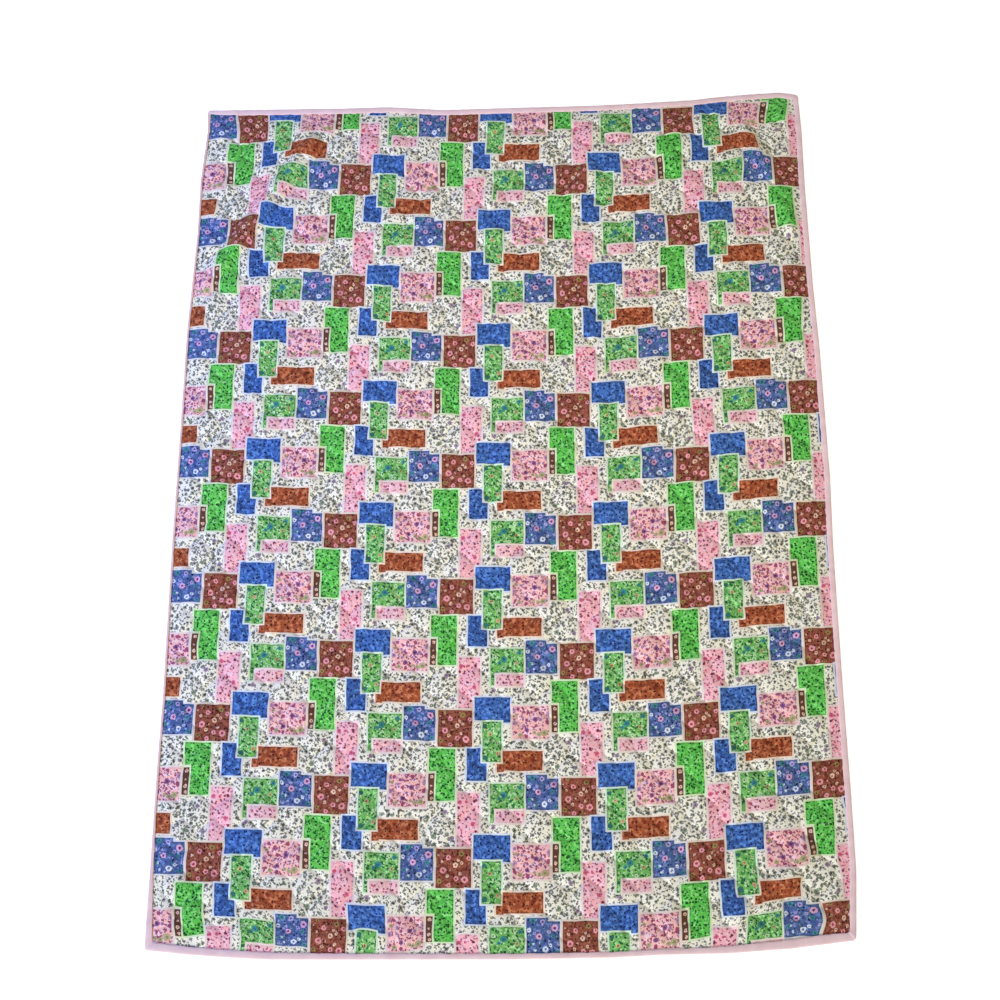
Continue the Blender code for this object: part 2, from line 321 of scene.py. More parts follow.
def round_corners(flat):
    """Draws the square corners in to quarter circles: u = a sqrt(1 - b^2 / 2) and the same for b."""
    over = (np.abs(flat) - HALF + BODY_CORNER) / BODY_CORNER
    a, b = np.clip(over, 0, 1).T
    drawn = np.stack([a * np.sqrt(1 - b * b / 2), b * np.sqrt(1 - a * a / 2)], axis=1)
    both = (over > 0).all(axis=1)
    rounded = (HALF - BODY_CORNER + drawn * BODY_CORNER) * np.sign(flat)
    return np.where(both[:, None], rounded, flat)


def cloth_grid():
    """Grid over the cut cloth whose rows follow the seams and whose columns follow the stems.

    y at (x, s) lies between the seam lines with the whole numbers about s, in the share that s is
    past the first. Past the edges it is held at the edge, and rim rows go down to the surface.
    """
    half = HALF - RIM[0][0]
    strips = np.arange(-2, round(WIDTH / OGEE_WIDE * 2) + 3)
    x = FIRST_STEM[0] + (strips[:, None] + np.array(ACROSS_SHARES)).ravel() * OGEE_WIDE / 2
    x = np.concatenate([[-half[0]], x[np.abs(x) < half[0] - COLUMN_ROOM], [half[0]]])
    index = np.arange(-4, round(LENGTH / OGEE_TALL * 2) + 5)
    grid_x = np.tile(x, (len(index) * len(DOWN_SHARES), 1))
    upper = np.repeat(index, len(DOWN_SHARES))[:, None]
    share = np.tile(DOWN_SHARES, len(index))[:, None]
    y = (1 - share) * seam_line(grid_x, upper) + share * seam_line(grid_x, upper + 1)
    y = np.clip(y, -half[1], half[1])
    inside = (y > -half[1]).any(axis=1) & (y < half[1]).any(axis=1)
    first, last = np.flatnonzero(inside)[[0, -1]]
    rows = slice(max(first - 1, 0), last + 2)
    grid_x, y = grid_x[rows], y[rows]
    y[0], y[-1] = half[1], -half[1]
    z = top_height(np.column_stack([grid_x.ravel(), y.ravel()])).reshape(y.shape)
    grid = np.dstack([grid_x, y, z])
    for back, high in RIM[1:]:
        grid = np.pad(grid, ((1, 1), (1, 1), (0, 0)), mode="edge")
        rim = np.ones(grid.shape[:2], bool)
        rim[1:-1, 1:-1] = False
        edge = HALF - back
        at_side = np.abs(grid[..., :2]) > HALF - RIM_ROOM
        moved = np.where(at_side, np.sign(grid[..., :2]) * edge, grid[..., :2])
        grid[rim, :2] = moved[rim]
        grid[rim, 2] = high
    return grid


def quads(rows, columns):
    """Corner numbers of the faces of a grid whose points are numbered row by row, seen from above."""
    at = np.arange(rows * columns).reshape(rows, columns)
    return np.stack([at[1:, :-1], at[1:, 1:], at[:-1, 1:], at[:-1, :-1]], axis=-1).reshape(-1, 4)


def print_place(laid):
    """Place in the true print of each point of the laid cloth, in mm right and mm down of a brown patch.

    The sag, the sway and the pulls say how far the cloth carried its print, and are taken off.
    """
    place = laid - MIDDLE_SHIFT
    right = (place[:, 0] + WIDTH / 2) * MM
    below = (LENGTH / 2 - place[:, 1]) * MM * PRINT_LONG
    here = np.stack([right, below], axis=1)
    across, down = right / (WIDTH * MM), below / (LENGTH * MM)
    upper = 1 - smooth(2 * down)
    lower = smooth(2 * down - 1)
    sag = along(SAG_MIDDLE, across) * (1 - upper - lower)
    sag += along(SAG_TOP, across) * upper + along(SAG_BOTTOM, across) * lower
    sway = (1 - down) * along(SWAY_TOP, across) + down * along(SWAY_BOTTOM, across)
    moved = np.stack([sway, sag], axis=1)
    for x0, y0, x1, y1, half, aside, lower_by in PULLS:
        moved += band(here, (x0, y0), (x1, y1 + PULL_LONG), half)[:, None] * np.array([aside, lower_by])
    start = np.array([PRINT_START[0] + WIDTH / 2, (LENGTH / 2 - PRINT_START[1]) * PRINT_LONG]) * MM
    return here - moved - start


def put(name, data):
    """Puts an object with that mesh, light or camera into the scene."""
    thing = bpy.data.objects.new(name, data)
    bpy.context.scene.collection.objects.link(thing)
    return thing


def add_piece(name, mesh, materials):
    """Puts a finished mesh into the scene, smooth and with its materials."""
    for material in materials:
        mesh.materials.append(material)
    mesh.shade_smooth()
    return put(name, mesh)


def set_map(mesh, name, values):
    """Gives the mesh a UV map from one pair of numbers for each face corner."""
    mesh.uv_layers.new(name=name).data.foreach_set("uv", values.astype(np.float32).ravel())


def read(items, name, kind, each=1):
    """One property of all of a mesh's points, face corners or faces, as an array."""
    values = np.empty(len(items) * each, kind)
    items.foreach_get(name, values)
    return values


def wadded_quilt(top, backing):
    """The filled body: the quilted top, its rim under the binding, and a flat backing."""
    grid = cloth_grid()
    mesh = bpy.data.meshes.new("wadded_quilt")
    mesh.from_pydata(grid.reshape(-1, 3).tolist(), [], quads(*grid.shape[:2]).tolist())
    shape = bmesh.new()
    shape.from_mesh(mesh)
    bmesh.ops.remove_doubles(shape, verts=shape.verts, dist=WELD)
    open_edges = [edge for edge in shape.edges if edge.is_boundary]
    bmesh.ops.contextual_create(shape, geom=open_edges)
    bmesh.ops.recalc_face_normals(shape, faces=shape.faces)
    for face in shape.faces:
        face.material_index = 1 if len(face.verts) > 4 else 0
    shape.to_mesh(mesh)
    shape.free()
    points = read(mesh.vertices, "co", np.float32, 3).reshape(-1, 3).astype(float)
    flat = points[:, :2].copy()
    points[:, :2] = lay(round_corners(flat))
    mesh.vertices.foreach_set("co", points.astype(np.float32).ravel())
    corners = read(mesh.loops, "vertex_index", np.int32)
    set_map(mesh, "print", print_place(points[:, :2])[corners] / MM)
    slanting, stem, _, _ = seam_distances(flat)
    seam_gap = (np.minimum(slanting, stem) * MM).astype(np.float32)
    mesh.attributes.new("seam_gap", "FLOAT", "POINT").data.foreach_set("value", seam_gap)
    mesh.update()
    piece = add_piece("wadded_quilt", mesh, [top, backing])
    # The backing is one flat face, and it is shaded flat.
    mesh.polygons.foreach_set("use_smooth", read(mesh.polygons, "material_index", np.int32) == 0)
    return piece


# ---- the binding

def other_way(table):
    """The same widths, given from the other end of the side."""
    return [(1 - part, wide) for part, wide in reversed(table)]


def edge_stations():
    """Pairs of points round the quilt, clockwise from above: on the sewn lip and on the cut edge.

    They are opposite each other along the sides. At a corner each of them goes round a quarter
    circle of its own, in equal steps, which mitres the strip. The distances round come with them.
    """
    ways = ((1, 0), (0, -1), (-1, 0), (0, 1))
    tables = (TOP_BIND, RIGHT_BIND, other_way(BOTTOM_BIND), other_way(LEFT_BIND))
    angle = (np.pi / 2 * np.linspace(0, 1, CORNER_STEPS + 1))[:, None]
    lip, edge = [], []
    for side, (forward, table) in enumerate(zip(np.array(ways), tables)):
        outward = np.array([-forward[1], forward[0]])
        corner = (outward - forward) * HALF
        length = abs(forward @ (2 * HALF))
        # The strip's width where the side before ends, where this one ends and where the next starts.
        last_wide, wide, next_wide = tables[side - 1][-1][1], table[-1][1], tables[side - 3][0][1]
        start, end = last_wide + INNER_CORNER, length - next_wide - INNER_CORNER
        reach = np.linspace(start, end, round((end - start) / BIND_STATION) + 1)[1:-1]
        edge.append(corner + reach[:, None] * forward)
        lip.append(edge[-1] - along(table, reach / length)[:, None] * outward)
        turn = outward * np.cos(angle) + forward * np.sin(angle)
        tip = corner + forward * length
        edge.append(tip + (turn - forward - outward) * OUTER_CORNER)
        inner = tip - forward * (next_wide + INNER_CORNER) - outward * (wide + INNER_CORNER)
        lip.append(inner + turn * INNER_CORNER)
    lip, edge = np.vstack(lip), np.vstack(edge)
    steps = np.linalg.norm(np.roll(edge, -1, axis=0) - edge, axis=1)
    return lip, edge, np.concatenate([[0], np.cumsum(steps)])


def rounded_line(line):
    """Cuts every inner corner of a line: each stretch keeps its points at one and three quarters."""
    early = line[:, :-1] * 0.75 + line[:, 1:] * 0.25
    late = line[:, :-1] * 0.25 + line[:, 1:] * 0.75
    middle = np.stack([early, late], axis=2).reshape(len(line), -1, line.shape[2])
    return np.concatenate([line[:, :1], middle[:, 1:-1], line[:, -1:]], axis=1)


def gathers(part, seed, fewest, most):
    """Seeded unevenness round a closed edge: sine waves that go round it a whole number of times."""
    random = np.random.default_rng(seed)
    total = np.zeros(len(part))
    for _ in range(GATHER_WAVES):
        turns = random.integers(fewest, most)
        total += np.sin(2 * np.pi * (turns * part + random.uniform()))
    return total / math.sqrt(GATHER_WAVES)


def folded_binding(cloth):
    """The folded strip: its section carried round the cut edge, with small gathers, and then laid.

    The section is the middle line of the cloth with half its thickness on each side. The gathers lift
    its upper part. The lip's wander fades with the fourth power of the way to the outer end.
    """
    lip, edge, reach = edge_stations()
    part = reach[:-1] / reach[-1]
    widths = np.linalg.norm(edge - lip, axis=1)
    normals = (edge - lip) / widths[:, None]
    scale = np.minimum(1.0, widths / FULL_SECTION)[:, None]
    share, back, high = np.array(BIND_LINE).T
    line = np.dstack([share * widths[:, None] - back * scale, np.tile(high, (len(widths), 1))])
    line = rounded_line(line)
    top = smooth((line[..., 1] - GATHER_FROM) / (GATHER_FULL - GATHER_FROM))
    line[..., 1] += GATHER_HIGH * gathers(part, SEED + 2, *GATHER_TURNS)[:, None] * top
    near_lip = np.linspace(1, 0, line.shape[1])[None, :] ** 4
    line[..., 0] += LIP_WANDER * gathers(part, SEED + 3, *LIP_TURNS)[:, None] * near_lip
    slope = np.gradient(line, axis=1)
    slope[:, -1] = (0, -1)
    slope /= np.linalg.norm(slope, axis=2)[..., None]
    side = np.stack([-slope[..., 1], slope[..., 0]], axis=-1) * BIND_CLOTH / 2
    outer, inner = line + side, line - side
    outer[:, -1, 1] = inner[:, -1, 1] = 0.0
    section = np.concatenate([outer, inner[:, ::-1]], axis=1)
    flat = lip[:, None] + normals[:, None] * section[..., :1]
    laid = lay(flat.reshape(-1, 2))
    ring = np.column_stack([laid, section[..., 1].ravel()])
    stations, count = section.shape[:2]
    run = np.linalg.norm(np.diff(line, axis=1), axis=2).mean(axis=0)
    cross = np.concatenate([[0], np.cumsum(run)])
    cross = np.concatenate([cross, cross[::-1], [0]])
    a, b = np.meshgrid(np.arange(stations), np.arange(count), indexing="ij")
    ends = ((a, b), (a + 1, b), (a + 1, b + 1), (a, b + 1))
    faces = np.stack([i % stations * count + j % count for i, j in ends], axis=-1).reshape(-1, 4)
    places = np.stack([np.dstack([reach[i], cross[j]]) for i, j in ends], axis=2).reshape(-1, 2)
    mesh = bpy.data.meshes.new("folded_binding")
    mesh.from_pydata(ring.tolist(), [], faces.tolist())
    set_map(mesh, "thread", places)
    mesh.update()
    return add_piece("folded_binding", mesh, [cloth])


# ---- materials

def linear(code):
    """An sRGB hex colour such as "#c08040" as linear red, green, blue and 1."""
    parts = [int(code[i:i + 2], 16) / 255 for i in (1, 3, 5)]
    return [c / 12.92 if c <= 0.04045 else ((c + 0.055) / 1.055) ** 2.4 for c in parts] + [1.0]


def new_material(name):
    """A material with its shader, and the tree that they are in."""
    material = bpy.data.materials.new(name)
    material.use_nodes = True
    return material, material.node_tree, material.node_tree.nodes["Principled BSDF"]


def add(tree, kind, inputs=(), out=0, **settings):
    """Adds one node with its settings and gives its output.

    inputs is a list in the sockets' order, or a dict by socket: a socket is linked, and a hex colour
    or a number is set. The colours of a Mix node are its sockets 6 and 7.
    """
    node = tree.nodes.new("ShaderNode" + kind)
    for name, value in settings.items():
        setattr(node, name, value)
    given = inputs.items() if isinstance(inputs, dict) else enumerate(inputs)
    for key, value in given:
        if isinstance(value, bpy.types.NodeSocket):
            tree.links.new(value, node.inputs[key])
        else:
            node.inputs[key].default_value = linear(value) if isinstance(value, str) else value
    return node.outputs[out]


# Cloth, in mm, with the heights of its bumps in metres.
THREAD_WIDE = 1.0  # real calico has 3 threads to the mm, and they are drawn coarser so that they show
WEAVE_HIGH = 0.00012
PUCKER_LONG = 6.25
PUCKER_HIGH = 0.0022
PUCKER_REACH = 9.0  # distance from a seam at which the puckers are least
PUCKER_LEAST = 0.15
CREASE_LONG = 100 / 12
CREASE_HIGH = 0.0012
CLOUD_LONG = 100 / 3

WHITE_GROUND = "#f4f3e3"
EYE_SHARE = 0.42  # radius of a flower's eye, as a share of the flower's

# Flowers and dots in the print: petals and eye, then x, y and radius of each in mm. A dot has no eye.
BROWN_SPOTS = (
    ("#e6a0a6", "#9c3c48", (
        (21.7, 19.1, 5.4), (7.8, 17.2, 3.8), (-12.6, 5, 5), (-3.9, -15, 3.9), (28.3, -13.9, 3.6),
        (-3.9, 27.8, 3.6))),
    ("#e6c8b0", "#a0522d", (
        (7.5, -3.1, 3.9), (-15.3, -8.9, 2.1), (-6.1, 13.5, 2.7), (12, -11.1, 2.2), (16.9, -6.7, 2.3),
        (14.4, 9.4, 2.3), (-20.6, -18.9, 1.4), (-1.1, 4.4, 1.4))),
    ("#98894c", "#5a3020", ((16.7, -21.1, 4), (-18.9, 21.7, 3.6), (-13.3, -26.9, 2.7), (8.3, 28.9, 2.2))),
)
BLUE_SPOTS = (
    ("#dcaacc", "#5c3a7c", ((-36.7, -19.4, 5.2), (-61.7, -7.2, 4.7))),
    ("#dce6f0", "#6480b8", (
        (-52, 12.2, 4.6), (-43.3, 6.7, 2.6), (-77.6, -16.1, 3.4), (-67.8, 13.7, 1.9), (-71.1, 4.4, 1.9))),
    ("#b6aede", "#4a4a98", (
        (-55.8, -28.9, 3.9), (-68.9, -11.7, 2.1), (-63.9, -16.1, 2.1), (-46.1, -13.9, 2.8), (-30.6, 4.4, 2.6),
        (-76.7, 16.7, 1.7))),
    ("#3f8f8c", "#2b4c7c", ((-71.1, -30.6, 4.3), (-38.9, -7.2, 3), (-34.4, 16.7, 3.4), (-75, 5, 2.9))),
)
GREEN_FLOWER_SPOTS = (
    ("#3c8f80", "#2f5f8c", ((-118, -3, 5.6), (-125.4, 2.9, 3.2), (-91.7, -14.2, 3.6))),
    ("#bfdfb0", "#3a7a48", (
        (-108.8, 16.3, 3.2), (-99.8, -15.7, 3.2), (-116.7, 8.3, 1.6), (-103.8, -5, 1.6),
        (-133.8, -8.3, 3.2))),
    ("#b4ac78", "#7c6c48", ((-96.3, 3.8, 3.2),)),
    ("#1f6a3a", None, (
        (-130, -15.4, 2), (-110.8, -14.2, 2), (-95, -3.3, 1.6), (-110, 1.7, 1.8), (-103.3, 5, 1.6),
        (-136.3, 2.5, 1.8), (-122, 16.7, 2), (-102, 16.7, 1.6), (-93.3, 15.8, 1.6), (-86.3, 8.3, 1.6),
        (-138.5, 13.8, 1.6), (-136.7, 25.8, 2.6))),
)
PINK_STRIP_SPOTS = (
    ("#7a2a44", None, ((-110.8, 26.7, 2), (-118.5, 36, 2), (-94.6, 36.2, 2))),
    ("#d8607e", "#7a2a44", ((-124.3, 30.4, 2.2), (-107.7, 39, 1.5), (-96, 27.5, 2), (-87.9, 29.6, 2))),
)
SKY_SPOTS = (
    ("#1c2f6a", None, (
        (58.9, -38.9, 2), (67.8, -26.1, 2), (91.7, -37.8, 2), (79.4, -42.8, 1.5), (48.3, -36, 1.8),
        (86.7, -19.4, 1.7), (71.7, -17.2, 1.7), (67.8, -48.3, 2), (47.2, -44.4, 1.7), (92.8, -11.1, 1.5),
        (87.8, -45.6, 1.8))),
)
LEAF_SPOTS = (
    ("#ccae80", "#6c4430", ((62.8, 10, 3.2),)),
    ("#c4dcae", "#4a8a4c", ((76.7, 2.2, 2), (75.6, 24.4, 2.8), (54.4, 21, 2))),
    ("#d2aa88", "#a8684c", ((74.4, 42.8, 3.2),)),
    ("#34705c", "#2d6a7c", ((53.3, -3.3, 3.6), (54.4, 49.4, 4.4))),
    ("#236f3a", None, (
        (59.4, -8.3, 1.6), (73, -9.4, 1.6), (65.6, 3.9, 1.6), (63.3, 17.8, 1.6), (59.4, 26.7, 1.6),
        (68.3, 25, 1.6), (72.8, 36.1, 1.6), (58.9, 38.9, 1.6), (78.3, 34.4, 1.4), (69.4, 49.4, 1.6),
        (65, 53.3, 1.6), (76.7, 6.7, 1.4))),
)
DEEP_BLUE_SPOTS = (
    ("#1b2a60", None, (
        (36.4, 37.8, 2.5), (33.3, 62.8, 1.8), (32.4, 76.7, 2.2), (48.3, 77.2, 2), (53.9, 85, 2),
        (26.7, 85, 2), (41, 43.9, 1.4), (26.7, 68.9, 1.4), (42, 65.6, 1.4))),
)
RUST_SPOTS = (
    ("#5a2014", None, (
        (117, 57, 2), (133.3, 47.2, 2), (89.4, 65.6, 1.8), (147.2, 45.6, 2.5), (85, 52.2, 2),
        (118.9, 39.4, 2), (137.8, 38.3, 2))),
    ("#8a3a20", "#6c2a18", (
        (102.2, 53.3, 2.6), (108.9, 45.6, 3.4), (90.6, 45, 2.6), (78.3, 65, 2.6), (132, 52, 4))),
)
ROSE_SPOTS = (
    ("#8c5486", "#523060", ((136.7, -13.9, 4.2), (122.2, 3.9, 3.8))),
    ("#a0486c", None, (
        (125, -24.7, 1.8), (117.8, -25.6, 2.5), (121.7, -13.3, 2.8), (122.2, 13.3, 2.8), (107.8, -30.6, 3),
        (130, -35, 3), (138.3, -30.6, 3), (156.7, -8.9, 4), (103.9, 7.8, 2.5), (136.7, -2, 2),
        (140.6, 12.8, 1.8))),
    ("#b88cae", "#8a5a86", (
        (114.4, -18.9, 2.5), (101.7, -29.4, 3), (145, -13.3, 3), (117.2, -5, 2), (159, -23, 5),
        (101.7, -7.8, 4))),
    ("#b4aa84", "#868c58", (
        (151, 8.9, 5.6), (142, 11, 3.6), (104.4, -21.1, 3), (111, 11, 3.4), (134.5, 7.7, 2.8))),
)
BROWN_STRIP_SPOTS = (
    ("#f0ccb8", "#a06a58", ((-33.6, 80.9, 2.8), (-34.2, 95, 1.7), (-33.9, 105.6, 2.8), (-32.8, 115.3, 2.5))),
)
GREEN_SPOTS = (
    ("#17602c", None, (
        (-0.6, 42.8, 2.5), (-36, 46.4, 2.2), (-11, 46.7, 1.5), (-20.6, 62.8, 2.2), (3.9, 75.6, 2),
        (-5.6, 89.4, 1.8), (-14.4, 95.6, 2.5), (-1.7, 102, 2.5), (-13.3, 108, 1.8), (-22.2, 117.8, 2.5),
        (-6.7, 60, 1.8), (-29, 47.8, 1.8), (-30.6, 56.7, 1.8), (-31.7, 62.8, 1.6), (-19, 103, 1.8),
        (-9.4, 70.6, 1.8))),
)
PINK_SPOTS = (
    ("#7a2440", None, (
        (36.7, -104.8, 2.6), (11, -94, 2.4), (43.9, -96, 1.8), (34.4, -90.8, 1.8), (23.9, -76, 2.2),
        (40, -56.7, 2.2), (29.4, -44.4, 2.2), (15.6, -49, 1.5), (13, -75, 1.5), (29, -116, 1.8),
        (10, -33, 1.5))),
    ("#d9668a", "#c04a70", (
        (13.3, -103, 3.6), (23.7, -103.3, 2.5), (35, -67.8, 3.6), (43, -111.7, 2), (13.9, -82.8, 2),
        (16, -58, 2))),
)
GROUND_SPOTS = (
    ("#76836f", "#c9bdc2", (
        (-33.3, -95, 3.6), (-42, -74.4, 4), (-26.7, -70.6, 3), (-2.8, -69.4, 3), (-33.3, -61, 2.4),
        (-45, -54.4, 3), (-15.6, -53.9, 2.6), (-7.8, -52.2, 2), (-36, -36, 3), (-8.3, -36, 2.6),
        (-21, -65, 2.4))),
    ("#a08ca0", "#6c6078", ((-11, -87, 3.8), (0, -45.6, 3.6), (67.8, -63, 3.6))),
    ("#8a9a80", "#5e6c5c", ((-30, -48.3, 4), (88.7, 30.2, 3), (134.4, 28.3, 3), (104.4, 31, 2.4))),
    ("#4c504c", None, ((116.4, 25, 2.2), (96.7, 25, 2.2), (112.8, 32.2, 1.6), (22.2, 95.9, 2.4))),
)

# Small marks: a field, the ink, and the value under which the field is inked. "dots" and "blots" are
# scattered round marks, "leaf" and "leaf_back" are slanting marks, "dusk" and "dawn" the low and the
# high places of a slow noise, and "vine" the winding line between them.
GROUND_MARKS = (
    ("blots", "#a9ab9e", 0.24), ("leaf", "#748066", 0.18), ("leaf_back", "#807a8a", 0.15),
    ("dots", "#50544a", 0.15), ("blots", "#42443e", 0.12))
BLUE_MARKS = (
    ("dusk", "#3458a0", 0.42), ("dawn", "#6090de", 0.41), ("leaf", "#1e3872", 0.12),
    ("dots", "#0e1c48", 0.16))
FLOWER_BLUE_MARKS = (
    ("dusk", "#425a96", 0.44), ("dawn", "#6e86c6", 0.40), ("leaf", "#3f8684", 0.12),
    ("dots", "#141f48", 0.17), ("leaf_back", "#b0bae6", 0.09))
GREEN_MARKS = (
    ("dawn", "#8ce27e", 0.42), ("leaf", "#1e6e28", 0.14), ("leaf_back", "#1e6e28", 0.10),
    ("dots", "#0b3a12", 0.18))
LEAF_MARKS = (
    ("dawn", "#a4de94", 0.42), ("leaf", "#1e5c2c", 0.20), ("leaf_back", "#225a46", 0.15),
    ("dots", "#dcecc6", 0.12))
BROWN_MARKS = (
    ("dusk", "#7c3a2c", 0.43), ("leaf_back", "#b88c70", 0.10), ("leaf", "#4a2016", 0.10),
    ("dots", "#2c100a", 0.17))
RUST_MARKS = (
    ("dusk", "#9a4a2c", 0.43), ("dawn", "#ca7e56", 0.41), ("vine", "#6c3018", 0.012),
    ("dots", "#2c1008", 0.16))
PINK_MARKS = (("dawn", "#fad0dc", 0.42), ("leaf", "#b86484", 0.15), ("dots", "#7c3c58", 0.16))
ROSE_MARKS = (
    ("dawn", "#f8d6de", 0.42), ("leaf", "#94486a", 0.18), ("leaf_back", "#84609a", 0.15),
    ("dots", "#9c3c5c", 0.16))

# The fields, in mm: the length of the slow noise, and how far apart the marks are.
SLOW_LONG = 7.0
DOTS_APART = 7.0
BLOTS_APART = 10.8
LEAVES_APART = 6.0
LEAF_LONG = 2.0  # length of a leaf in its own widths
LEAF_TURNS = (("leaf", 0.7), ("leaf_back", -0.9))
MARK_SCATTER = 0.8  # 0 is an even grid of marks, 1 the most uneven

# The print is never quite true: length of the waves that move it, and how far to and fro, in mm.
WANDER = (22.0, 1.6)  # of whole patches
RAGGED = (2.4, 2.4)  # of small marks and flowers

# Printed patches: colour, halo, softness of the edge in mm, boxes of (left, right, top, bottom) in mm,
# spots, and small marks.
PATCHES = (
    ("#fabbc5", "#eedfdb", 1.2, ((9, 44.5, -118, -32.5),), PINK_SPOTS, PINK_MARKS),
    ("#4271ba", "#d8e3ef", 0.4, ((36, 95, -51, -13), (83, 95, -14, -9)), SKY_SPOTS, BLUE_MARKS),
    ("#4e6499", "#dbdee0", 0.4, ((-81.5, -29, -29, 21), (-81.5, -47, -35, -28)), BLUE_SPOTS,
     FLOWER_BLUE_MARKS),
    ("#945240", "#e4d4c4", 0.4, ((-24, 32, -29, 32),), BROWN_SPOTS, BROWN_MARKS),
    ("#6fb85d", "#d4e8ca", 0.6, ((-140, -85, -21, 20), (-140, -132.5, 19, 41)), GREEN_FLOWER_SPOTS,
     LEAF_MARKS),
    ("#eec0c4", "#ecdcd4", 1.8, ((-131, -85, 22.7, 42),), PINK_STRIP_SPOTS, PINK_MARKS),
    ("#6fbb5f", "#d3eed5", 0.5, ((49.5, 80.5, -10, 56),), LEAF_SPOTS, LEAF_MARKS),
    ("#3c66a9", "#d8e4ee", 0.4, ((24, 46, 34, 60), (24, 56, 59, 87)), DEEP_BLUE_SPOTS, BLUE_MARKS),
    ("#b3613a", "#f0deca", 0.4, ((83, 148, 38, 70), (73, 84, 59, 72)), RUST_SPOTS, RUST_MARKS),
    ("#f7bfbc", "#ebdcd5", 1.4, ((98.5, 159.5, -36, 18),), ROSE_SPOTS, ROSE_MARKS),
    ("#643d32", "#e6dcc6", 0.4, ((-39, -28.5, 75.5, 119.5),), BROWN_STRIP_SPOTS, ()),
    ("#61ca53", "#d5eec0", 0.4, ((-38, 4.5, 35, 71), (-26, 4.5, 70, 119)), GREEN_SPOTS, GREEN_MARKS),
)
HALO_WIDE = 3.1
INK_SPREAD = 0.4  # how far the ink of a patch has run past its box, in mm
EDGE_LINE = 2.5  # width of the darker ink just inside a patch, in mm
EDGE_INK = "#20160e"
CRISP_DARK = 0.33  # most of that ink on a crisp edge,
SOFT_DARK = 0.12  # and on one that is soft over 1 mm or more
GROUND_MIDDLE = (40, -30)  # the repeat about here holds the flowers of the white ground
SLIP_SHARE = STEP_SLIP / STEP_ACROSS


def near(tree, x, sheared, middle_x, middle_y):
    """Place in the repeat that lies about one middle.

    x is wrapped by the step across. Each step taken off x takes its slip off y, and y is then
    wrapped by the step down. sheared is y less the slip's share of x.
    """
    half = STEP_ACROSS / 2
    right = add(tree, "Math", [x, middle_x + half, middle_x - half], operation="WRAP")
    below = add(tree, "Math", [right, SLIP_SHARE, sheared], operation="MULTIPLY_ADD")
    half = STEP_DOWN / 2
    below = add(tree, "Math", [below, middle_y + half, middle_y - half], operation="WRAP")
    return add(tree, "CombineXYZ", [right, below])


def box_gap(tree, place, box):
    """Distance outside a box in mm, below 0 inside: the larger of |x| and |y| past the half sides."""
    left, right, top, bottom = box
    middle = ((left + right) / 2, (top + bottom) / 2, 0)
    half = ((right - left) / 2, (bottom - top) / 2, 0)
    past = add(tree, "VectorMath", [place, middle], operation="SUBTRACT")
    past = add(tree, "VectorMath", [past], operation="ABSOLUTE")
    past = add(tree, "VectorMath", [past, half], operation="SUBTRACT")
    parts = add(tree, "SeparateXYZ", [past]).node
    return add(tree, "Math", [parts.outputs[0], parts.outputs[1]], operation="MAXIMUM")


def draw_spots(tree, place, colour, groups):
    """Draws flowers and dots: each is where the distance to its middle is under its radius.

    The least of the distances, each in radii, finds the flower that a place is on. Its eye is the
    inner part of that.
    """
    for petals, eye, spots in groups:
        nearest = None
        for x, y, radius in spots:
            gap = add(tree, "VectorMath", [place, (x, y, 0)], out=1, operation="DISTANCE")
            gap = add(tree, "Math", [gap, 1 / radius], operation="MULTIPLY")
            nearest = gap if nearest is None else add(tree, "Math", [nearest, gap], operation="MINIMUM")
        inside = add(tree, "Math", [nearest, 1.0], operation="LESS_THAN")
        flower = petals
        if eye:
            inner = add(tree, "Math", [nearest, EYE_SHARE], operation="LESS_THAN")
            flower = add(tree, "Mix", {0: inner, 6: petals, 7: eye}, out=2, data_type="RGBA")
        colour = add(tree, "Mix", {0: inside, 6: colour, 7: flower}, out=2, data_type="RGBA")
    return colour


def scattered(tree, place, apart):
    """Distance to the nearest of scattered points, divided by a random size from 0.5 to 1.5."""
    cells = add(tree, "TexVoronoi", {"Vector": place, "Scale": 1 / apart, "Randomness": MARK_SCATTER},
                voronoi_dimensions="2D").node
    size = add(tree, "SeparateColor", [cells.outputs["Color"]])
    size = add(tree, "Math", [size, 0.5], operation="ADD")
    return add(tree, "Math", [cells.outputs["Distance"], size], operation="DIVIDE")


def draw_marks(tree, fields, colour, marks):
    """Small printed marks: each is inked where a shared field is under its limit."""
    for field, ink, limit in marks:
        inside = add(tree, "Math", [fields[field], limit], operation="LESS_THAN")
        colour = add(tree, "Mix", {0: inside, 6: colour, 7: ink}, out=2, data_type="RGBA")
    return colour


def mark_fields(tree, place, loose):
    """The shared fields of the small marks, by name, over the true and the wobbling places in mm."""
    slow = add(tree, "TexNoise", {"Vector": place, "Scale": 1 / SLOW_LONG, "Detail": 1.0},
               noise_dimensions="2D")
    vine = add(tree, "Math", [slow, 0.5], operation="SUBTRACT")
    fields = {
        "dusk": slow,
        "dawn": add(tree, "Math", [1.0, slow], operation="SUBTRACT"),
        "vine": add(tree, "Math", [vine], operation="ABSOLUTE"),
        "dots": scattered(tree, loose, DOTS_APART),
        "blots": scattered(tree, loose, BLOTS_APART),
    }
    for name, turn in LEAF_TURNS:
        # Turned and then drawn out, so that a round mark comes out as a long leaf.
        slant = {"Vector": loose, "Rotation": (0, 0, turn), "Scale": (LEAF_LONG, 1.0, 1.0)}
        slant = add(tree, "Mapping", slant, vector_type="TEXTURE")
        fields[name] = scattered(tree, slant, LEAVES_APART)
    return fields


def wobble(tree, place, long, swing):
    """Small move of each place, in mm: to and fro over the swing, in waves of about that length."""
    waves = add(tree, "TexNoise", {"Vector": place, "Scale": 1 / long, "Detail": 0.0}, out=1,
                noise_dimensions="2D")
    least = (-swing / 2, -swing / 2, 0)
    return add(tree, "VectorMath", [waves, (swing, swing, 0), least], operation="MULTIPLY_ADD")


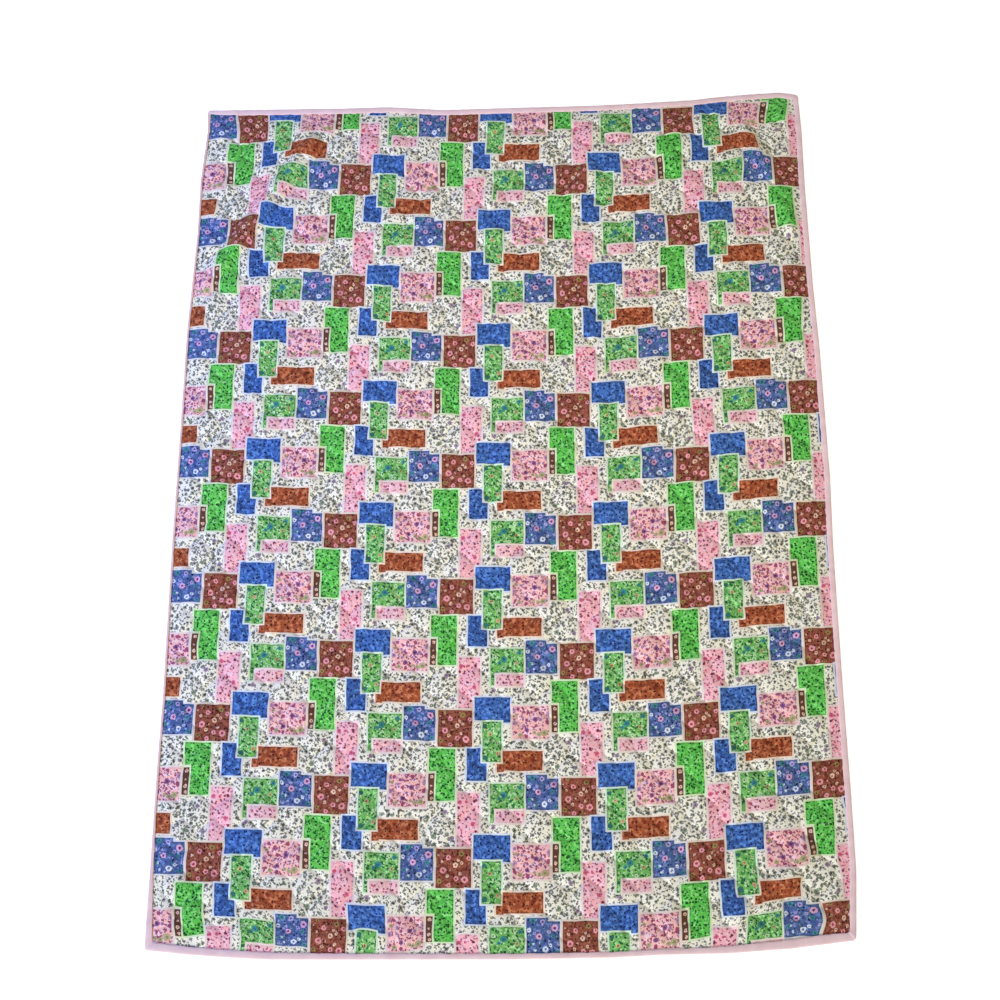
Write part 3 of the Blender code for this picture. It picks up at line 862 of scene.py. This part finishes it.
def weave_bump(tree, shader, place, creases):
    """Bump of a plain weave over that of the creases: threads across and down, each a row of ridges.

    A wave texture of scale s has a ridge every pi / (10 s).
    """
    across, down = (
        add(tree, "TexWave", {"Vector": place, "Scale": math.pi / (10 * THREAD_WIDE), "Distortion": 0.6,
                              "Detail": 1.0}, out=1, bands_direction=axis)
        for axis in ("X", "Y")
    )
    weave = add(tree, "Math", [across, down], operation="ADD")
    weave = {"Strength": 0.25, "Distance": WEAVE_HIGH, "Height": weave, "Normal": creases}
    tree.links.new(add(tree, "Bump", weave), shader.inputs["Normal"])


def dry_cotton(shader, rough, sheen):
    """Finish of cotton fibre: hardly any gloss, and a faint sheen at a low angle."""
    shader.inputs["Roughness"].default_value = rough
    shader.inputs["Specular IOR Level"].default_value = 0.25
    shader.inputs["Sheen Weight"].default_value = sheen
    shader.inputs["Sheen Roughness"].default_value = 0.5


def printed_calico():
    """Printed cotton calico: a matt plain weave, printed by roller with a patchwork of small florals.

    To the eye it is flat, dry colour with soft edges, and it only catches light on the puffs. Each
    patch has a pale halo round it and darker ink just inside its edge.
    """
    material, tree, shader = new_material("printed cotton calico")
    place = add(tree, "UVMap", uv_map="print")
    place = add(tree, "VectorMath", {0: place, "Scale": MM}, operation="SCALE")
    wander = wobble(tree, place, *WANDER)
    ragged = wobble(tree, place, *RAGGED)
    drawn = add(tree, "VectorMath", [place, wander], operation="ADD")
    loose = add(tree, "VectorMath", [place, ragged], operation="ADD")
    fields = mark_fields(tree, place, loose)
    parts = add(tree, "SeparateXYZ", [drawn]).node
    x, y = parts.outputs[0], parts.outputs[1]
    sheared = add(tree, "Math", [x, -SLIP_SHARE, y], operation="MULTIPLY_ADD")
    here = add(tree, "VectorMath", [near(tree, x, sheared, *GROUND_MIDDLE), ragged], operation="ADD")
    colour = draw_marks(tree, fields, WHITE_GROUND, GROUND_MARKS)
    colour = draw_spots(tree, here, colour, GROUND_SPOTS)
    for fill, halo, soft, boxes, spots, marks in PATCHES:
        middle_x = (min(b[0] for b in boxes) + max(b[1] for b in boxes)) / 2
        middle_y = (min(b[2] for b in boxes) + max(b[3] for b in boxes)) / 2
        here = near(tree, x, sheared, middle_x, middle_y)
        gap = box_gap(tree, here, boxes[0])
        for box in boxes[1:]:
            gap = add(tree, "Math", [gap, box_gap(tree, here, box)], operation="MINIMUM")
        in_halo = add(tree, "Math", [gap, HALO_WIDE], operation="LESS_THAN")
        in_patch = add(tree, "MapRange", [gap, INK_SPREAD, INK_SPREAD - soft, 0.0, 1.0])
        darkest = CRISP_DARK if soft < 1 else SOFT_DARK
        in_line = add(tree, "MapRange", [gap, INK_SPREAD - soft - EDGE_LINE, INK_SPREAD - soft / 2,
                                         0.0, darkest])
        colour = add(tree, "Mix", {0: in_halo, 6: colour, 7: halo}, out=2, data_type="RGBA")
        inside = draw_marks(tree, fields, fill, marks)
        inside = draw_spots(tree, add(tree, "VectorMath", [here, ragged], operation="ADD"), inside, spots)
        inside = add(tree, "Mix", {0: in_line, 6: inside, 7: EDGE_INK}, out=2, data_type="RGBA")
        colour = add(tree, "Mix", {0: in_patch, 6: colour, 7: inside}, out=2, data_type="RGBA")
    tree.links.new(colour, shader.inputs["Base Color"])
    dry_cotton(shader, rough=0.88, sheen=0.08)
    weave_bump(tree, shader, place, seam_puckers(tree, place))
    return material


def seam_puckers(tree, place):
    """Bump of the small puckers, which gather beside a line of stitches and fade out from it."""
    gap = add(tree, "Attribute", out=2, attribute_name="seam_gap")
    beside = add(tree, "MapRange", [gap, 0.0, PUCKER_REACH, 1.0, PUCKER_LEAST])
    pucker = add(tree, "TexNoise", {"Vector": place, "Scale": 1 / PUCKER_LONG, "Detail": 2.0},
                 noise_dimensions="2D")
    pucker = add(tree, "Math", [pucker, beside], operation="MULTIPLY")
    return add(tree, "Bump", {"Strength": 0.55, "Distance": PUCKER_HIGH, "Height": pucker})


def plain_cotton(name, colour, shade, map_name):
    """Plain dyed cotton, woven: matt and soft to the eye, with faint clouds of a deeper tone."""
    material, tree, shader = new_material(name)
    if map_name:
        place = add(tree, "UVMap", uv_map=map_name)
    else:
        place = add(tree, "TexCoord", out=3)
    place = add(tree, "VectorMath", {0: place, "Scale": MM}, operation="SCALE")
    cloud = add(tree, "TexNoise", {"Vector": place, "Scale": 1 / CLOUD_LONG, "Detail": 3.0})
    share = add(tree, "MapRange", [cloud, 0.35, 0.65])
    tone = add(tree, "Mix", {0: share, 6: colour, 7: shade}, out=2, data_type="RGBA")
    tree.links.new(tone, shader.inputs["Base Color"])
    dry_cotton(shader, rough=0.9, sheen=0.1)
    crease = add(tree, "TexNoise", {"Vector": place, "Scale": 1 / CREASE_LONG, "Detail": 2.0})
    creases = add(tree, "Bump", {"Strength": 0.4, "Distance": CREASE_HIGH, "Height": crease})
    weave_bump(tree, shader, place, creases)
    return material


def matt_paper():
    """White background paper over a light table: matt, even and without shadows."""
    material, tree, shader = new_material("matt white paper, lit from below")
    place = add(tree, "TexCoord", out=3)
    grain = add(tree, "TexNoise", {"Vector": place, "Scale": PAPER_GRAIN, "Detail": 3.0})
    share = add(tree, "MapRange", [grain, 0.3, 0.7])
    tone = add(tree, "Mix", {0: share, 6: "#fbfbfb", 7: "#ffffff"}, out=2, data_type="RGBA")
    tree.links.new(tone, shader.inputs["Base Color"])
    shader.inputs["Roughness"].default_value = 1.0
    shader.inputs["Specular IOR Level"].default_value = 0.0
    shader.inputs["Emission Color"].default_value = linear("#ffffff")
    shader.inputs["Emission Strength"].default_value = PAPER_GLOW
    return material


# ---- studio

def add_floor():
    """A wide pale floor that lies a hair under the quilt, and turns up far away to hide its end.

    It is a square, and round it wider and wider square rings, each higher than the last.
    """
    reach, high = np.array(FLOOR_RINGS).T
    corners = np.array([(-1, -1), (1, -1), (1, 1), (-1, 1), (-1, -1)])
    rings = np.dstack([np.multiply.outer(reach, corners[:, i]) for i in (0, 1)]
                      + [np.repeat(high[:, None], len(corners), axis=1)])
    mesh = bpy.data.meshes.new("floor")
    faces = [(0, 1, 2, 3)] + quads(*rings.shape[:2]).tolist()
    mesh.from_pydata(rings.reshape(-1, 3).tolist(), [], faces)
    floor = add_piece("floor", mesh, [matt_paper()])


def add_light(name, place, aim, size, power, colour):
    """A square area light at a place, turned to its aim."""
    lamp = bpy.data.lights.new(name, "AREA")
    lamp.size = size
    lamp.energy = power
    lamp.color = linear(colour)[:3]
    holder = put(name, lamp)
    holder.location = place
    ahead = Vector(aim) - Vector(place)
    holder.rotation_euler = ahead.to_track_quat("-Z", "Y").to_euler()


def add_camera():
    """The camera above the near end of the quilt, looking down and a little ahead."""
    data = bpy.data.cameras.new("camera")
    data.lens = CAMERA_LENS
    data.shift_x = CAMERA_SHIFT
    camera = put("camera", data)
    camera.location = CAMERA_PLACE
    camera.rotation_euler = [math.radians(angle) for angle in CAMERA_TURN]
    bpy.context.scene.camera = camera


def light_room():
    """Soft white light from all round, and the square lights, shown without any film look."""
    world = bpy.data.worlds.new("room")
    world.use_nodes = True
    background = world.node_tree.nodes["Background"]
    background.inputs["Color"].default_value = linear("#ffffff")
    background.inputs["Strength"].default_value = ROOM_LIGHT
    bpy.context.scene.world = world
    for light in LIGHTS:
        add_light(*light)
    bpy.context.scene.view_settings.view_transform = "Standard"


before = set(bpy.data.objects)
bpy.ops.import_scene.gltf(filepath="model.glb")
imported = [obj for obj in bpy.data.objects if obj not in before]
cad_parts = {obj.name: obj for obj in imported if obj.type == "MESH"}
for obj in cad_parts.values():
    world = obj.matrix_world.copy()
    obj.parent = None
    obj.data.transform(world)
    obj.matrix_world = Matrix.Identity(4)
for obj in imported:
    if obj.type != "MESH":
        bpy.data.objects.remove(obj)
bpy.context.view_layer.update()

quilt = wadded_quilt(printed_calico(), plain_cotton("pink cotton backing", "#ecd0d6", "#e4c4ca", None))
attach(quilt, "root")
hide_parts("quilt_body")

binding = folded_binding(plain_cotton("pink cotton binding", "#f1d7da", "#e9cbcf", "thread"))
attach(binding, "root")
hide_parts("edge_binding")

add_floor()
light_room()
add_camera()
